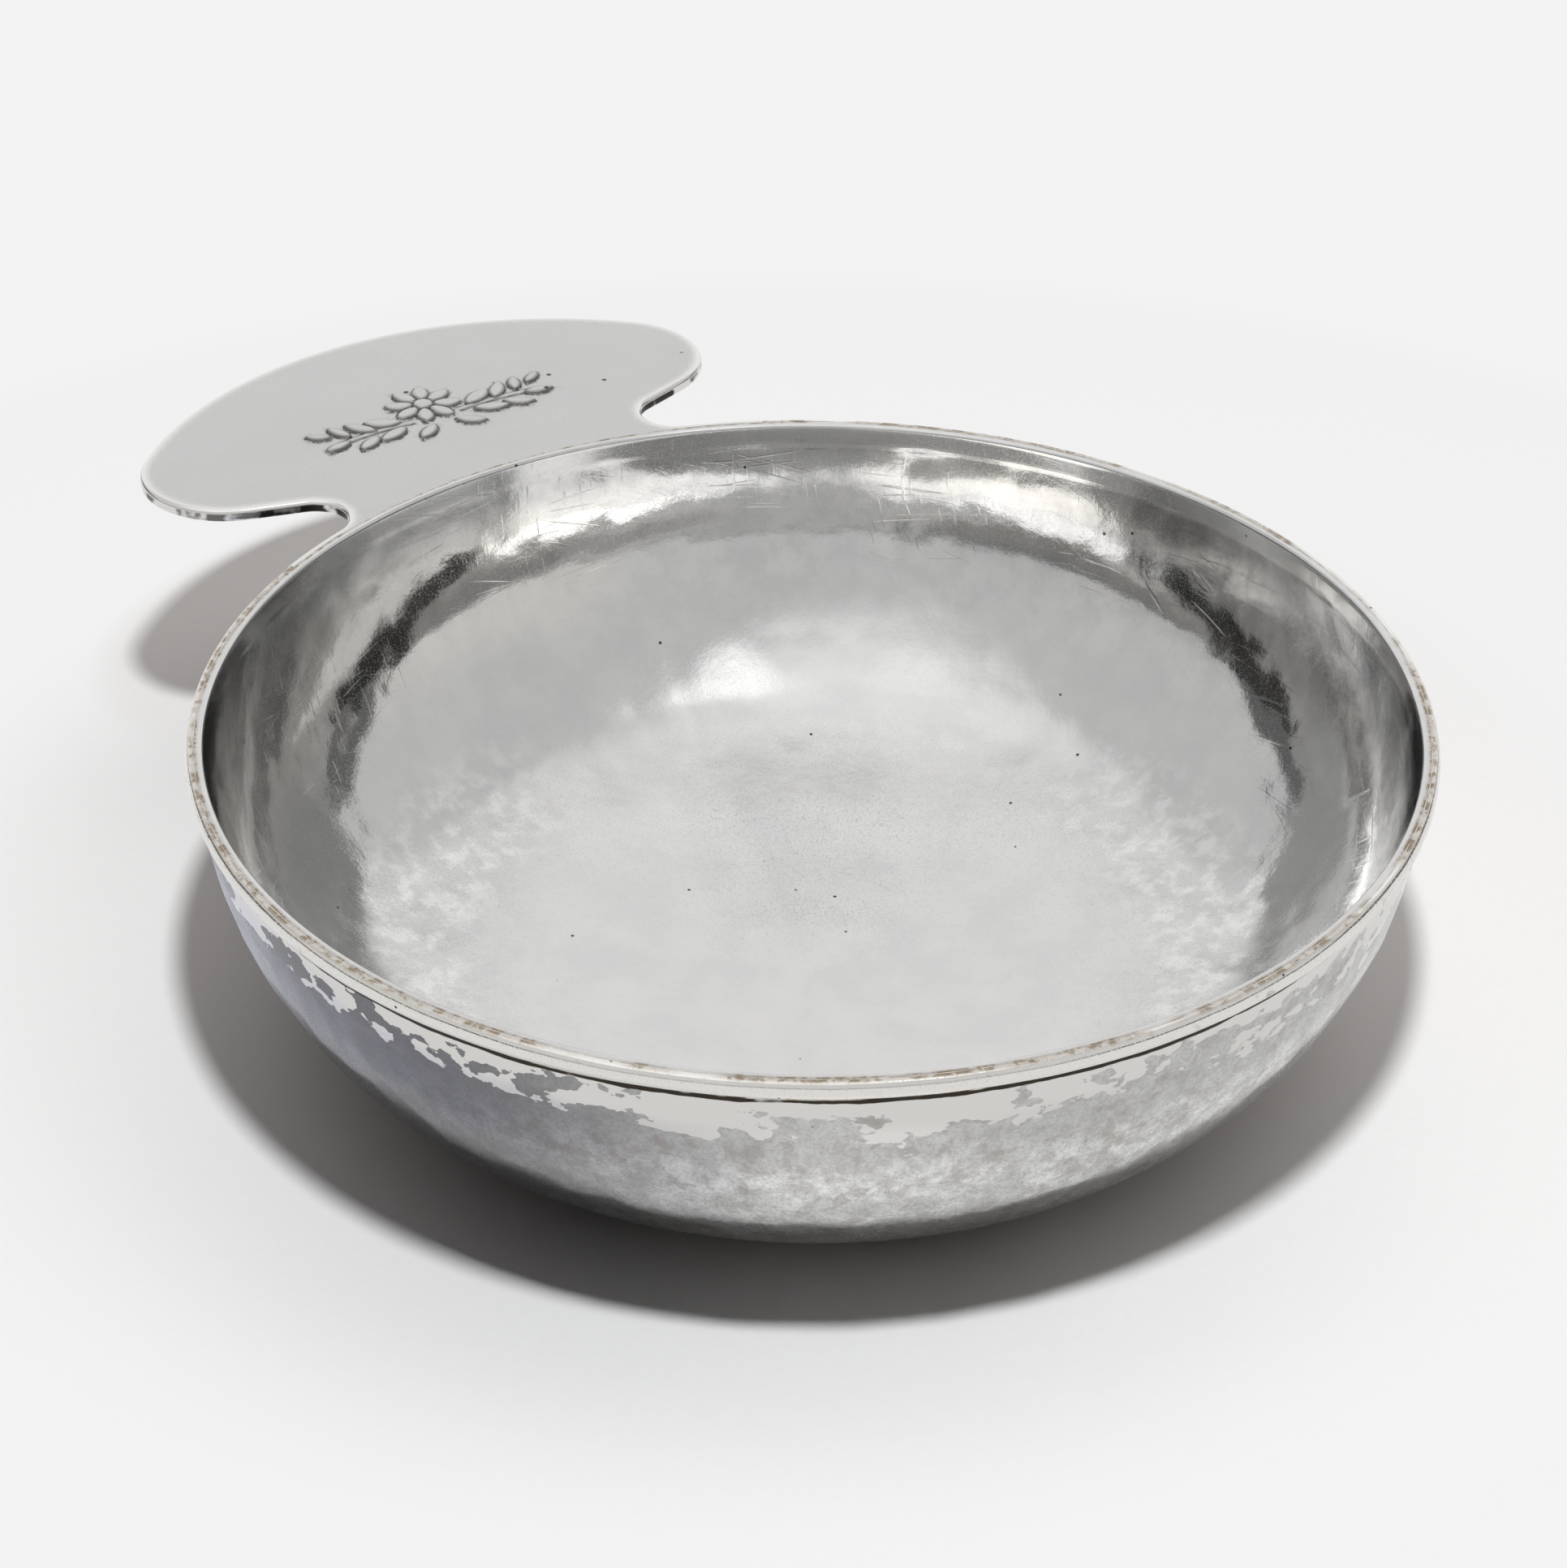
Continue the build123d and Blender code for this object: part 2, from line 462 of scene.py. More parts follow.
outer_wall = on_piece("outer_wall")
# Dirt and painted shade: a black line on the wall just under the wire.
crevice = remap(plus(on_piece("bead_line"), minus(grain(260.0, 3.0), 0.5)), 0.42, 0.60)
pits = use_group(pit_tree, Amount=0.15, Scale=700.0)
sheet_colour = layered(inside_colour, (
    (outer_wall, outside_colour),
    (times(on_piece("seam"), seam_specks()), (0.21, 0.155, 0.10)),
    (times(crevice, patches(110.0, 3.0, 0.28, 0.34, 0.6)), (0.04, 0.033, 0.025)),
    (pits["Mask"], PITS_COLOUR),
))
feed(sheet_colour, shader["Base Color"])
print("rim dirt laid")

# %% [markdown]
# ### Polish of the bowl
# The mirror is dulled where the cloth missed it, near the base, round the floor and in its scratches.
# The hammer's dents are real shape, made further down. Only the finest marks are bumps.

# %% Dullness and fine bumps of the bowl
worn = on_piece("worn")
polish = use_group(
    polish_tree, Bright=0.045, Dull=0.085, Scale=70.0, Brush_Marks=0.17, Brush_Level=0.56
)
scratches = use_group(scratch_tree, Amount=0.8)
dullness = plus(
    polish["Roughness"],
    times(outer_wall, unpolished, 0.13),
    times(outer_wall, remap(polish_line, -20.0, -28.0, 0.0, 0.18)),
    times(on_piece("floor_haze"), 0.12),
    times(scratches["Mask"], worn, 0.11),
)
ripple = add_node("Bump", in_Strength=1.0, in_Distance=0.00005)
scored = add_node("Bump", in_Strength=0.32, in_Distance=0.00004)
feed(dullness, shader["Roughness"])
feed(times(grain(430.0, 5.0, 0.6), on_piece("ripple")), ripple.inputs["Height"])
feed(times(scratches["Height"], worn), scored.inputs["Height"])
feed(ripple.outputs["Normal"], scored.inputs["Normal"])
feed(scored.outputs["Normal"], shader["Normal"])
print("bowl finish:", len(bench.nodes), "nodes")

# %% [markdown]
# ### Rim wire
# Hands keep the wire bright. Tarnish stays in blotches and along the seam, and dirty metal is duller.

# %% Finish of the rim wire
wire_finish, shader = new_finish("tarnished rim wire", Metallic=1.0)
polish = use_group(polish_tree, Bright=0.06, Dull=0.13, Scale=180.0)
pits = use_group(pit_tree, Amount=1.2, Scale=900.0)
stain = use_group(
    tarnish_tree, Amount=0.34, Scale=420.0, Metal=(0.76, 0.742, 0.708), Stain=(0.33, 0.275, 0.205)
)
seam_mask = times(on_piece("seam"), seam_specks())
dirt = sum_up("MAXIMUM", stain["Mask"], seam_mask)
wire_colour = layered(stain["Color"], ((seam_mask, (0.25, 0.19, 0.128)), (pits["Mask"], PITS_COLOUR)))
feed(wire_colour, shader["Base Color"])
feed(plus(polish["Roughness"], times(dirt, 0.2)), shader["Roughness"])
print("wire finish:", len(bench.nodes), "nodes")

# %% [markdown]
# ### Handle plate
# The plate was left satin. Its edge is polished by hands and painted lighter as a highlight, its sawn
# sides are black in places, and dirt darkens the chased lines.

# %% Finish of the handle plate
handle_finish, shader = new_finish("satin handle plate", Metallic=1.0)
polish = use_group(polish_tree, Bright=0.26, Dull=0.34, Scale=90.0)
scratches = use_group(scratch_tree, Amount=0.5)
pits = use_group(pit_tree, Amount=0.5, Scale=420.0)
stain = use_group(
    tarnish_tree, Amount=0.10, Scale=120.0, Metal=(0.515, 0.513, 0.51), Stain=(0.47, 0.44, 0.41)
)
edge_shine = on_piece("polished_edge")
soot = sum_up("MULTIPLY", on_piece("sawn_edge"), patches(260.0, 5.0, 0.44, 0.54), clamp=True)
plate_colour = layered(stain["Color"], (
    # Painted highlight: the rounded edge and the side of the plate are lighter.
    (edge_shine, (0.70, 0.692, 0.672)),
    (pits["Mask"], PITS_COLOUR),
    (on_piece("chased_line"), (0.07, 0.065, 0.06)),
    (soot, (0.04, 0.035, 0.03)),
))
scored = add_node("Bump", in_Strength=0.3, in_Distance=0.00004, in_Height=scratches["Height"])
feed(plate_colour, shader["Base Color"])
feed(plus(polish["Roughness"], times(edge_shine, -0.17), times(soot, 0.3)), shader["Roughness"])
feed(scored.outputs["Normal"], shader["Normal"])
print("handle finish:", len(bench.nodes), "nodes")

# %% [markdown]
# ### Solder
# The run of solder under the rim is black with old dirt and with painted shade under the wire. The
# thin film at the top is not. Both solder nodes keep their CAD meshes.

# %% Finish of the solder
FILM_HEIGHT, RUN_HEIGHT = 0.0346, 0.0336
solder_finish, shader = new_finish("tarnished solder", Metallic=1.0)
polish = use_group(polish_tree, Bright=0.3, Dull=0.45, Scale=200.0)
stain = use_group(
    tarnish_tree, Amount=0.62, Scale=380.0, Metal=(0.66, 0.64, 0.60), Stain=(0.30, 0.26, 0.20)
)
up = add_node("SeparateXYZ", in_Vector=object_place()).outputs["Z"]
# Dirt and painted shade: the run under the wire is black in most places.
black_mask = times(remap(up, FILM_HEIGHT, RUN_HEIGHT), patches(110.0, 3.0, 0.38, 0.45, 0.6))
feed(mix_colour(black_mask, stain["Color"], (0.045, 0.037, 0.028)), shader["Base Color"])
feed(polish["Roughness"], shader["Roughness"])
for node_name in ("rim_solder", "handle_solder"):
    node_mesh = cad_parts[node_name].data
    node_mesh.materials.clear()
    node_mesh.materials.append(solder_finish)
print("solder finish:", len(bench.nodes), "nodes")

# %% [markdown]
# ## The bowl
# A smith planishes a raised bowl with hundreds of light blows, each leaving a flat spot a few
# millimetres across. A bump texture would only tint the shading, and a mirror shows the difference, so
# the flats are real: a dense mesh whose points are pushed in towards the nearest blow.

# %% Helpers for points
def polar(radius, angle, centre=(0.0, 0.0)):
    """Points on circles about a centre."""
    return np.stack([centre[0] + radius * np.cos(angle), centre[1] + radius * np.sin(angle)], axis=-1)


def at_height(flat, z):
    """Points in the plane, lifted to a height."""
    return np.column_stack([flat, np.broadcast_to(z, len(flat))])


def unit(rows):
    """Each row of a list of directions, brought to length 1."""
    return rows / np.linalg.norm(rows, axis=1)[:, None]


def running(steps):
    """Running sum of steps, from 0."""
    return np.concatenate([[0.0], np.cumsum(steps)])


def fade(value, low, high):
    """Smooth step from 0 at low to 1 at high."""
    share = np.clip((value - low) / (high - low), 0, 1)
    return share * share * (3 - 2 * share)


print("point helpers ready")

# %% Blows of the hammer
BLOW_SEED = 11
BLOW_STRENGTHS = (0.75, 1.3)
BLOW_UNEVEN = 0.006
NEAR_BLOWS = 6
smith = np.random.default_rng(BLOW_SEED)


def blow_centres(profile, spacing, jitter):
    """Places of the blows in rounds along a profile of (radius, height) points."""
    along = running(np.hypot(*np.diff(profile, axis=0).T))
    places = []
    for where in np.arange(spacing / 2, along[-1], spacing):
        radius = np.interp(where, along, profile[:, 0])
        count = max(3, int(2 * math.pi * radius / spacing))
        turn = smith.uniform(0, 2 * math.pi)
        for angle in turn + np.arange(count) * 2 * math.pi / count:
            shifted = where + smith.normal(0, jitter)
            radius_here = np.interp(shifted, along, profile[:, 0])
            height_here = np.interp(shifted, along, profile[:, 1])
            angle_here = angle + smith.normal(0, jitter) / max(radius_here, spacing)
            places.append((*polar(radius_here, angle_here), height_here))
    return np.array(places)


def planish(points, centres, flatness, sharpness):
    """Depth of the blows at each point: 0 on the ridges between them, negative inside."""
    tree_of_blows = kdtree.KDTree(len(centres))
    for index, centre in enumerate(centres):
        tree_of_blows.insert(centre, index)
    tree_of_blows.balance()
    weights = smith.uniform(-BLOW_UNEVEN, BLOW_UNEVEN, len(centres))
    strength = smith.uniform(*BLOW_STRENGTHS, len(centres))
    depth = np.empty(len(points))
    for index, point in enumerate(points):
        total = 0.0
        for _, which, distance in tree_of_blows.find_n(point, NEAR_BLOWS):
            total += math.exp(-sharpness * (flatness * strength[which] * distance**2 + weights[which]))
        depth[index] = -math.log(total) / sharpness
    return depth


print("hammer ready")

# %% [markdown]
# ### Profile
# The outside follows the CAD: a quarter ellipse, then the upright band. Each row holds radius, height
# and the direction that points out of the sheet.

# %% Outside and lip of the profile
WALL_RINGS, BAND_RINGS, LIP_RINGS = 88, 5, 7
BAND_STEP, LIP_STEP = 0.5, 0.4


def straight(first, last, count, normal):
    """Straight run of a profile, without its last point."""
    share = np.linspace(0, 1, count, endpoint=False)[:, None]
    points = np.asarray(first) * (1 - share) + np.asarray(last) * share
    return np.column_stack([points, np.tile(normal, (count, 1))])


reach = LIP_RADIUS - BASE_RADIUS
wall_turn = np.linspace(0, QUARTER, WALL_RINGS)
wall_out = np.stack([CURVE_HEIGHT * np.sin(wall_turn), -reach * np.cos(wall_turn)], axis=-1)
wall_radius = BASE_RADIUS + reach * np.sin(wall_turn)
wall_height = CURVE_HEIGHT - CURVE_HEIGHT * np.cos(wall_turn)
outside = np.vstack([
    np.column_stack([wall_radius, wall_height, unit(wall_out)]),
    straight((LIP_RADIUS, CURVE_HEIGHT + BAND_STEP), (LIP_RADIUS, BOWL_HEIGHT), BAND_RINGS, (1, 0)),
])
inner_lip = LIP_RADIUS - SHEET
lip_centre = (inner_lip + LIP_ROUND, BOWL_HEIGHT - LIP_ROUND)
lip_turn = np.linspace(QUARTER, 2 * QUARTER, LIP_RINGS)
lip = np.vstack([
    straight((LIP_RADIUS, BOWL_HEIGHT), (lip_centre[0], BOWL_HEIGHT), 4, (0, 1)),
    np.column_stack([polar(LIP_ROUND, lip_turn, lip_centre), polar(1.0, lip_turn)]),
    straight((inner_lip, lip_centre[1] - LIP_STEP), (inner_lip, CURVE_HEIGHT), 4, (-1, 0)),
])
print("profile:", len(outside), "rings outside,", len(lip), "on the lip")

# %% [markdown]
# The inside was shaped on a stake, and its floor is slightly dished. It is drawn by how steep the metal
# is after so many millimetres from the centre. The sum of that gives radius and height.

# %% Inside of the profile
STAKE_RUN = (0.0, 11.0, 20.0, 32.0, 45.0, 50.3, 61.0, 67.2, 79.2)
STAKE_TILT = (0.0, 0.0, 3.3, 7.8, 15.6, 42.0, 52.0, 70.0, 90.0)
FLOOR_SHEET = 0.7
STAKE_STEPS, SOFT_STEPS, INSIDE_RINGS = 4001, 250, 118
run = np.linspace(0, STAKE_RUN[-1], STAKE_STEPS)
tilt = np.radians(np.interp(run, STAKE_RUN, STAKE_TILT))
soften = np.exp(-0.5 * np.linspace(-3, 3, 2 * SOFT_STEPS + 1) ** 2)
past_lip = 2 * tilt[-1] - tilt[-2:-SOFT_STEPS - 2:-1]
padded = np.concatenate([-tilt[SOFT_STEPS:0:-1], tilt, past_lip])
tilt = np.convolve(padded, soften / soften.sum(), mode="valid")
step_tilt = (tilt[1:] + tilt[:-1]) / 2
stake_r = running(np.cos(step_tilt) * np.diff(run))
stake_z = running(np.sin(step_tilt) * np.diff(run))
stake_r *= inner_lip / stake_r[-1]
stake_z = FLOOR_SHEET + stake_z * (CURVE_HEIGHT - FLOOR_SHEET) / stake_z[-1]
picked = np.linspace(0, STAKE_STEPS - 1, INSIDE_RINGS).astype(int)[:0:-1]
inside = np.column_stack([stake_r, stake_z, -np.sin(tilt), np.cos(tilt)])[picked]
print("profile:", len(inside), "rings inside")

# %% [markdown]
# ### Turning the profile
# The rings run from the middle of the underside out, over the lip and back to the middle of the floor.
# A ring has half as many points each time its radius halves, which keeps the faces about square.

# %% Rings of the bowl
BOWL_SEGMENTS = 480
SMALLEST_RING = BOWL_SEGMENTS // 16
DISC_STEP = 1.1
under_radii = np.arange(DISC_STEP, BASE_RADIUS, DISC_STEP)
profile_rows = [((radius, 0.0, 0.0, -1.0), "under") for radius in under_radii]
for zone, rows in (("outside", outside), ("lip", lip), ("inside", inside)):
    profile_rows += [(row, zone) for row in rows]

bowl_points, bowl_normals, bowl_zone, rings = [], [], [], []
for (radius, height, normal_out, normal_up), zone in profile_rows:
    count = max(SMALLEST_RING, BOWL_SEGMENTS >> int(math.log2(LIP_RADIUS / radius)))
    circle = polar(1.0, np.arange(count) * 2 * math.pi / count)
    rings.append((len(bowl_zone), count))
    bowl_points.append(at_height(radius * circle, height))
    bowl_normals.append(at_height(normal_out * circle, normal_up))
    bowl_zone += [zone] * count
middle = len(bowl_zone)
bowl_points = np.vstack(bowl_points + [[(0.0, 0.0, 0.0), (0.0, 0.0, FLOOR_SHEET)]])
bowl_normals = np.vstack(bowl_normals + [[(0.0, 0.0, -1.0), (0.0, 0.0, 1.0)]])
bowl_zone = np.array(bowl_zone + ["under", "inside"])
print("bowl:", len(rings), "rings,", len(bowl_points), "points")

# %% Faces of the bowl
def even_faces(start, after, count):
    """Faces between two rings with as many points."""
    turned = [(i, (i + 1) % count) for i in range(count)]
    return [(start + i, start + j, after + j, after + i) for i, j in turned]


def split_faces(coarse, fine, count):
    """Faces from a ring to the ring with twice as many points."""
    faces = []
    for i in range(count):
        here, following = coarse + i, coarse + (i + 1) % count
        left, between, right = (fine + (2 * i + k) % (2 * count) for k in range(3))
        faces += [(here, between, left), (here, following, between), (following, right, between)]
    return faces


bowl_faces = []
for (start, count), (after, count_after) in zip(rings, rings[1:]):
    if count == count_after:
        bowl_faces += even_faces(start, after, count)
    elif count < count_after:
        bowl_faces += split_faces(start, after, count)
    else:
        bowl_faces += [face[::-1] for face in split_faces(after, start, count_after)]
(first, first_count), (last, last_count) = rings[0], rings[-1]
bowl_faces += [(middle, first + (i + 1) % first_count, first + i) for i in range(first_count)]
bowl_faces += [(middle + 1, last + i, last + (i + 1) % last_count) for i in range(last_count)]
print("bowl:", len(bowl_faces), "faces")

# %% [markdown]
# ### Hammering
# The blows fade out towards the base, the lip and the floor. A raised bowl is never quite round either,
# so a slow sway moves both sides of the sheet together. It bends reflections more than the blows do.

# %% Hammer the bowl
OUTSIDE_BLOWS = {"spacing": 4.6, "jitter": 1.2}
INSIDE_BLOWS = {"spacing": 5.2, "jitter": 1.8}
SWAYS = ((0.06, 3, 0.4, 1), (0.04, 5, 2.1, 2), (0.03, 8, 4.0, 1), (0.02, 11, 1.2, 3))
base_start = (BASE_RADIUS * 0.5, 0.0)
outside_blows = blow_centres(np.vstack([base_start, outside[:, :2]]), **OUTSIDE_BLOWS)
inside_blows = blow_centres(inside[::-1, :2], **INSIDE_BLOWS)
angle_of = np.arctan2(bowl_points[:, 1], bowl_points[:, 0])
radius_of = np.hypot(bowl_points[:, 0], bowl_points[:, 1])
height_of = bowl_points[:, 2]
outer_side = bowl_zone == "outside"
inner_side = bowl_zone == "inside"

push = np.zeros(len(bowl_points))
height = height_of[outer_side]
dents = planish(bowl_points[outer_side], outside_blows, flatness=0.0095, sharpness=120.0)
dents -= dents.max()
dents *= fade(height, CURVE_HEIGHT + 0.6, CURVE_HEIGHT - 1.2) * (1 - 0.7 * fade(height, 27.0, 29.5))
push[outer_side] = dents * (0.14 * fade(height, 0.0, 1.5) + 0.86 * fade(height, 6.0, 20.0))
dents = planish(bowl_points[inner_side], inside_blows, flatness=0.0036, sharpness=260.0)
dents -= dents.mean()
dents *= fade(height_of[inner_side], BOWL_HEIGHT - 1.0, BOWL_HEIGHT - 5.0)
push[inner_side] = dents * (0.05 + 0.95 * fade(radius_of[inner_side], BASE_RADIUS, BASE_RADIUS + 10))

up_wall = math.pi * np.clip(height_of / CURVE_HEIGHT, 0, 1)
sway = fade(radius_of, 2.0, 16.0) * sum(
    size * np.cos(turns * angle_of + start) * np.sin(up_wall * bends)
    for size, turns, start, bends in SWAYS
)
sway *= outer_side.astype(float) - inner_side
bowl_moved = bowl_points + bowl_normals * (push + sway)[:, None]
print(f"blows: {len(outside_blows)} outside up to {-push.min():.2f} mm deep, {len(inside_blows)} inside")

# %% [markdown]
# ### Marks of wear and painted light
# The places that the finish asks for are kept on the points, as soft steps of height, radius or
# direction, so they have no hard borders. Some of them carry painted light and shade: the lighter and
# darker walls inside, the darker left side outside and the dark line under the wire.

# %% Make the bowl piece
POLISHED_FROM = 29.6
WELL_INSIDE = 50.0
bowl_piece = new_piece("hammered_bowl", bowl_moved, bowl_faces, bowl_finish)
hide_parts("bowl")
outer_or_under = outer_side | (bowl_zone == "under")
sideways = bowl_points[:, :2] @ np.array(RIGHT[:2]) / np.maximum(radius_of, 1.0)
to_side = fade(abs(sideways), 0.4, 0.7)
# Painted shade, strongest on the left side outside; it also lets the grey reach higher there.
weather = outer_or_under * fade(-sideways, 0.0, 0.60)
floor_turn = fade(radius_of, 31.0, 38.0) * fade(height_of, 14.0, 4.5)
rippled = 0.06 + 0.15 * fade(radius_of, 30.0, 42.0) + 0.28 * fade(radius_of, 46.0, 52.0) + 0.3 * floor_turn
hazy = (0.2 + 0.8 * fade(radius_of, 27.0, 40.0)) * fade(height_of, 11.0 - 3.0 * to_side, 6.5 - to_side)
spotty = (0.15 + 0.85 * fade(abs(sideways), 0.6, 0.9)) * fade(radius_of, 34.0, 40.0)
left_wall = fade(-sideways, 0.15, 0.60) * fade(height_of, 12.0, 18.0) * fade(height_of, 31.0, 26.0)
store(
    bowl_piece,
    outer_wall=outer_or_under,
    weathered=weather,
    polish_line=np.where(outer_or_under, height_of - POLISHED_FROM - 1.2 * weather, WELL_INSIDE),
    ripple=inner_side * rippled,
    floor_haze=inner_side * hazy,
    spotted=inner_side * spotty * fade(height_of, 10.0, 6.0),
    worn=np.where(inner_side, 0.06 + 0.94 * fade(height_of, 8.0, 22.0), 0.5),
    # Painted light on the left wall and painted shade on the right wall, for brighter and darker
    # reflections.
    creamy=inner_side * left_wall,
    dusky=inner_side * fade(sideways, 0.15, 0.85) * fade(height_of, 16.0, 24.0),
    shaded=inner_side * fade(sideways, 0.75, 0.95) * fade(height_of, 22.0, 30.0),
    seam=(bowl_zone == "lip") * fade(radius_of, LIP_RADIUS - 0.45, LIP_RADIUS - 0.1),
    bead_line=outer_side * np.clip((height_of - CURVE_HEIGHT) / 0.5, 0, 1),
)
print("bowl piece:", len(bowl_piece.data.vertices), "points")

# %% [markdown]
# ## Plan of the handle
# The plate was sawn from flat sheet. Its outline is a chain of arcs that run into each other, from the
# wing along the lip to the far edge. One half is drawn and mirrored, as on the real pattern.

# %% Outline of the handle
EDGE_STEP = 0.45


def arc(centre, radius, start, stop):
    """Arc as points about EDGE_STEP apart, without its last point."""
    count = max(2, int(abs(stop - start) * radius / EDGE_STEP))
    return polar(radius, np.linspace(start, stop, count, endpoint=False), centre)


notch_x = NECK_WIDTH / 2 + NOTCH_RADIUS
notch_y = math.sqrt((RIM_RADIUS + NOTCH_RADIUS) ** 2 - notch_x**2)
notch_angle = math.atan2(notch_y, notch_x)
wing_angle = notch_angle - WING_LENGTH / RIM_RADIUS
lead_along = np.array([math.cos(EAR_SWEEP), math.sin(EAR_SWEEP)])
lead_across = np.array([-math.sin(EAR_SWEEP), math.cos(EAR_SWEEP)])
lead_start = np.array([notch_x, notch_y]) + lead_across * NOTCH_RADIUS
lead_end = lead_start + lead_along * EAR_LEAD
ear_centre = lead_end + lead_across * EAR_RADIUS
tip_y = RIM_RADIUS + HANDLE_REACH
ear_tip_y = tip_y - EAR_RADIUS
back_y = (ear_tip_y**2 - ear_centre @ ear_centre) / (2 * (ear_tip_y - ear_centre[1]))
back_angle = math.atan2(ear_centre[1] - back_y, ear_centre[0])
half_edge = {
    "wing": arc((0, 0), RIM_RADIUS, wing_angle, notch_angle),
    "notch": arc((notch_x, notch_y), NOTCH_RADIUS, notch_angle + math.pi, EAR_SWEEP + QUARTER),
    "lead": np.linspace(lead_start, lead_end, int(EAR_LEAD / EDGE_STEP), endpoint=False),
    "ear": arc(ear_centre, EAR_RADIUS, EAR_SWEEP - QUARTER, back_angle),
    "back": arc((0, back_y), tip_y - back_y, back_angle, QUARTER),
}
right_edge = np.vstack(list(half_edge.values()))
right_kind = np.concatenate([[kind] * len(points) for kind, points in half_edge.items()])
edge_line = np.vstack([right_edge, [[0.0, tip_y]], right_edge[::-1] * (-1, 1)])
edge_kind = np.concatenate([right_kind, ["back"], right_kind[::-1]])
print(f"handle edge: {len(edge_line)} points, {2 * edge_line[:, 0].max():.1f} mm wide")

# %% [markdown]
# ## The ornament
# A small spray in low relief lies in the middle of the plate. As a chaser makes it, each petal or leaf
# is domed up a few tenths of a millimetre, and a fine dark line is punched round it.

# %% Leaves and petals
LEAF_SHAPE, VEIN_WIDTH = 0.7, 0.16
FLOWER_Y, PETALS, PETAL_START = 1.6, 8, 1.1
PETAL = (3.6, 2.2, 0.25)     # length, width and depth of its vein
LEAF_VEIN = 0.5
LEAVES = (                   # place of the root, angle in degrees, length and width
    (4.4, -1.2, 28, 4.6, 2.3), (4.6, -2.6, -22, 4.4, 2.1), (8.0, -1.6, 52, 4.3, 2.0),
    (8.4, -2.9, -32, 4.0, 1.9), (11.2, -1.2, 66, 3.6, 1.7), (11.8, -2.3, -12, 3.7, 1.7),
    (13.2, -0.2, 34, 3.2, 1.5), (1.3, -3.8, -38, 4.0, 1.9),
)


def leaf(place, base, angle, length, width, vein):
    """Dome and distance from the edge of one leaf, at each place."""
    along_axis = np.array([math.cos(angle), math.sin(angle)])
    offset = place - np.asarray(base)
    along = offset @ along_axis / length
    across = offset @ np.array([-along_axis[1], along_axis[0]])
    inside_run = np.clip(along, 0, 1)
    half = width / 2 * np.power(np.clip(4 * inside_run * (1 - inside_run), 0, 1), LEAF_SHAPE) + 1e-3
    beyond = np.hypot((along - inside_run) * length, np.maximum(np.abs(across) - half, 0))
    dome = np.sqrt(np.clip(1 - (across / half) ** 2, 0, 1)) * (np.abs(across) < half)
    has_vein = (along > 0.08) & (along < 0.8) & (dome > 0.3)
    dome = dome - 0.5 * vein * np.exp(-((across / VEIN_WIDTH) ** 2)) * has_vein
    edge = np.where(beyond > 0, beyond, np.maximum(half - np.abs(across), 0) * 0.6)
    return np.where((along > 0) & (along < 1), dome, 0.0), edge


def spray():
    """Every petal and leaf as base, angle, length, width and vein."""
    pieces = []
    for k in range(PETALS):
        turn = k * math.pi / 4 + math.pi / 8
        pieces.append((polar(PETAL_START, turn, (0.0, FLOWER_Y)), turn, *PETAL))
    for x, y, degrees, length, width in LEAVES:
        angle = math.radians(degrees)
        pieces.append(((x, y), angle, length, width, LEAF_VEIN))
        pieces.append(((-x, y), math.pi - angle, length, width, LEAF_VEIN))
    return pieces


print("spray:", len(spray()), "leaves and petals")

# %% Height of the spray
ORNAMENT_CENTRE = np.array([0.0, 79.5])
LINE_WIDTH, LINE_DEPTH = 0.17, 0.10
BUTTON = 1.25
STEM_END, STEM_WIDTH, STEM_RISE = 13.4, 0.28, 0.16


def ornament_height(points):
    """Relief and dark line of the spray, at points in the plane of the plate."""
    place = points - ORNAMENT_CENTRE
    relief = np.zeros(len(place))
    line = np.zeros(len(place))
    for petal in spray():
        dome, edge = leaf(place, *petal)
        covered = dome > 0
        relief = np.where(covered, 0.12 + 0.22 * dome, relief)
        here = np.exp(-((edge / LINE_WIDTH) ** 2))
        line = np.where(covered & (edge > 2 * LINE_WIDTH), 0.0, np.maximum(line, here))
    centre = np.hypot(place[:, 0], place[:, 1] - FLOWER_Y)
    button_dome = np.sqrt(np.clip(1 - (centre / BUTTON) ** 2, 0, 1))
    relief = np.where(centre < BUTTON, 0.2 + 0.25 * button_dome, relief)
    button_line = np.exp(-(((centre - BUTTON) / LINE_WIDTH) ** 2))
    line = np.where(centre < 1.0, 0.0, np.maximum(line, button_line))
    aside_of = np.abs(place[:, 0])
    from_stem = place[:, 1] + 2.1 - 0.6 * np.sin(aside_of / 13.2 * math.pi)
    stem = np.exp(-((from_stem / STEM_WIDTH) ** 2)) * (aside_of < STEM_END) * (aside_of > 1.0)
    relief = np.maximum(relief, STEM_RISE * stem * (relief == 0))
    stem_line = np.exp(-(((np.abs(from_stem) - 0.45) / 0.14) ** 2)) * (aside_of < STEM_END)
    line = np.maximum(line, stem_line * (relief < 0.05) * (aside_of > 3.0))
    return relief - LINE_DEPTH * line, line


print(f"spray {2 * STEM_END:.0f} mm wide at y = {ORNAMENT_CENTRE[1]:.1f} mm")

# %% [markdown]
# ## Mesh of the handle
# The side of the plate is a stack of rings with a quarter round at the top and the bottom. Relief needs
# points to lift, so the flat faces are filled with triangles: coarse ones, and fine ones in the spray.

# %% Side of the plate
ROUND_STEPS = 7
bottom = BOWL_HEIGHT - PLATE
ahead = np.roll(edge_line, -1, axis=0) - np.roll(edge_line, 1, axis=0)
ahead[0] = edge_line[1] - edge_line[0]
ahead[-1] = edge_line[-1] - edge_line[-2]
edge_out = unit(np.stack([ahead[:, 1], -ahead[:, 0]], axis=-1))
edge_out[[0, -1]] = unit(edge_line[[0, -1]])

